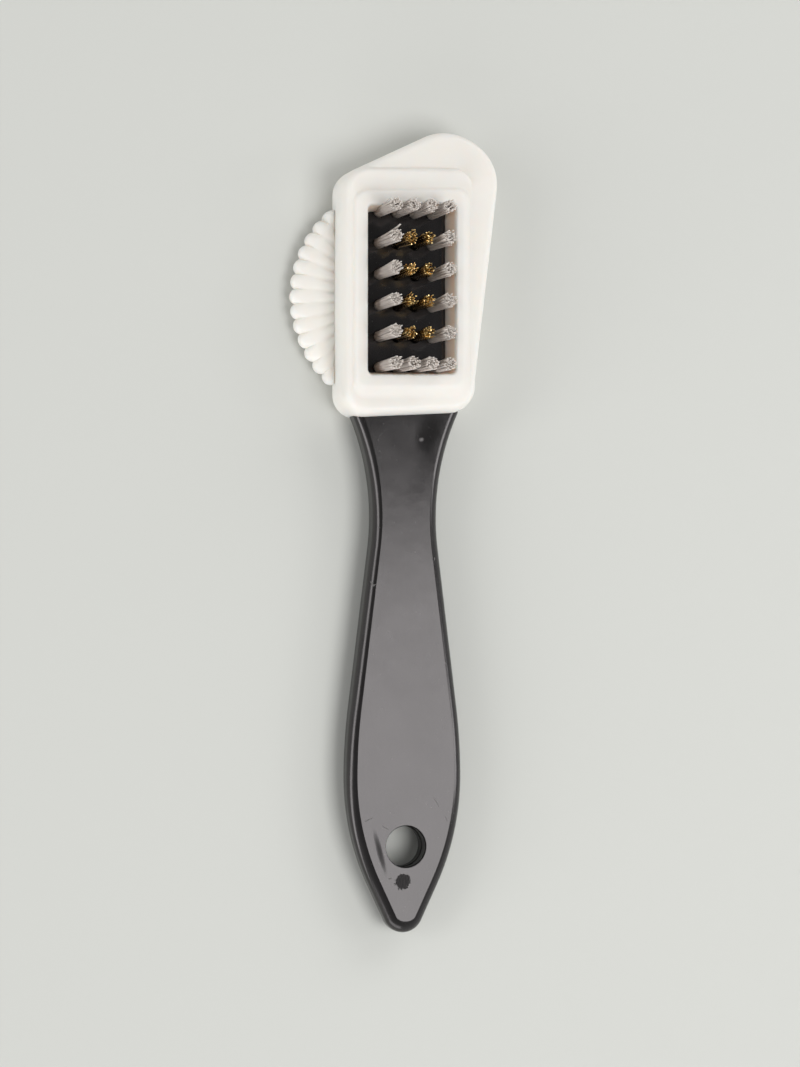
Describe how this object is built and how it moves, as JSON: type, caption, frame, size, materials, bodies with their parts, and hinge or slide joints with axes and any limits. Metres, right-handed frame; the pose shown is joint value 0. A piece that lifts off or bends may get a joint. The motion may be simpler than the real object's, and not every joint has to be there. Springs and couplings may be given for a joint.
{
  "type": "suede brush",
  "caption": "Suede and shoe brush: waisted plastic handle with a hang hole, white rubber boot with ribbed bump and fin, nylon and brass bristle tufts.",
  "frame": {"origin": "middle of the head's flat back face, on the handle's centre line, with the brush lying on its back", "axes": "+Z the way the bristles point, +Y along the brush from the handle's tip towards the head's end, +X to the fin's side"},
  "size_m": [0.0452, 0.1748, 0.021],
  "materials": {
    "handle_plastic": "satin injection moulded black plastic",
    "boot_rubber": "smooth matte warm white rubber",
    "nylon_bristle": "translucent off-white nylon filament",
    "brass_bristle": "crimped drawn brass wire",
    "anchor_wire": "drawn flat wire"
  },
  "bodies": {
    "root": {"handle": "handle_plastic", "rubber_boot": "boot_rubber", "tuft_anchors": "anchor_wire", "nylon_tuft_1_1": "nylon_bristle", "nylon_tuft_1_2": "nylon_bristle", "nylon_tuft_1_3": "nylon_bristle", "nylon_tuft_1_4": "nylon_bristle", "nylon_tuft_2_1": "nylon_bristle", "brass_tuft_2_2": "brass_bristle", "brass_tuft_2_3": "brass_bristle", "nylon_tuft_2_4": "nylon_bristle", "nylon_tuft_3_1": "nylon_bristle", "brass_tuft_3_2": "brass_bristle", "brass_tuft_3_3": "brass_bristle", "nylon_tuft_3_4": "nylon_bristle", "nylon_tuft_4_1": "nylon_bristle", "brass_tuft_4_2": "brass_bristle", "brass_tuft_4_3": "brass_bristle", "nylon_tuft_4_4": "nylon_bristle", "nylon_tuft_5_1": "nylon_bristle", "brass_tuft_5_2": "brass_bristle", "brass_tuft_5_3": "brass_bristle", "nylon_tuft_5_4": "nylon_bristle", "nylon_tuft_6_1": "nylon_bristle", "nylon_tuft_6_2": "nylon_bristle", "nylon_tuft_6_3": "nylon_bristle", "nylon_tuft_6_4": "nylon_bristle"}
  },
  "joints": []
}
